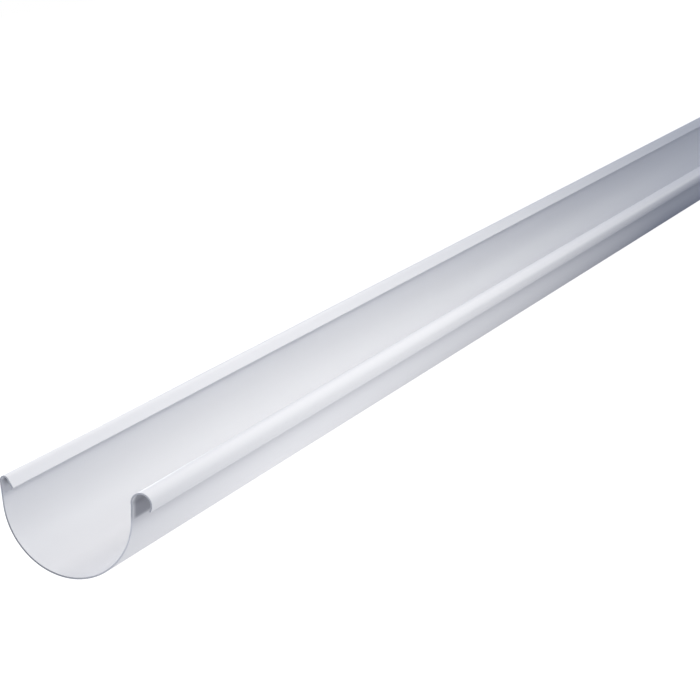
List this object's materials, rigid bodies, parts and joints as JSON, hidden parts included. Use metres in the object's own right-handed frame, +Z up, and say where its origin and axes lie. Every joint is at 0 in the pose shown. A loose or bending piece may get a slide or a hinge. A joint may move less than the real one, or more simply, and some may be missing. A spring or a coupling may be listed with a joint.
{
  "type": "half-round gutter length",
  "caption": "Straight half-round rainwater gutter in white rigid PVC: open bowl, front bead rolled outward, rear wall with a lip folded inward, square-sawn ends.",
  "frame": {"origin": "on the floor, under the middle of the gutter's bounding box", "axes": "+X along the gutter, +Y towards its rear wall with the folded lip, -Y towards its front bead, +Z up; the gutter lies unheld, leaning 4.85 degrees towards the bead"},
  "size_m": [3, 0.1481, 0.0946],
  "materials": {
    "white_pvc": "smooth extruded white rigid PVC with a soft gloss, faint die lines along its length and matt sawn ends"
  },
  "bodies": {
    "root": {"gutter": "white_pvc"}
  },
  "joints": []
}
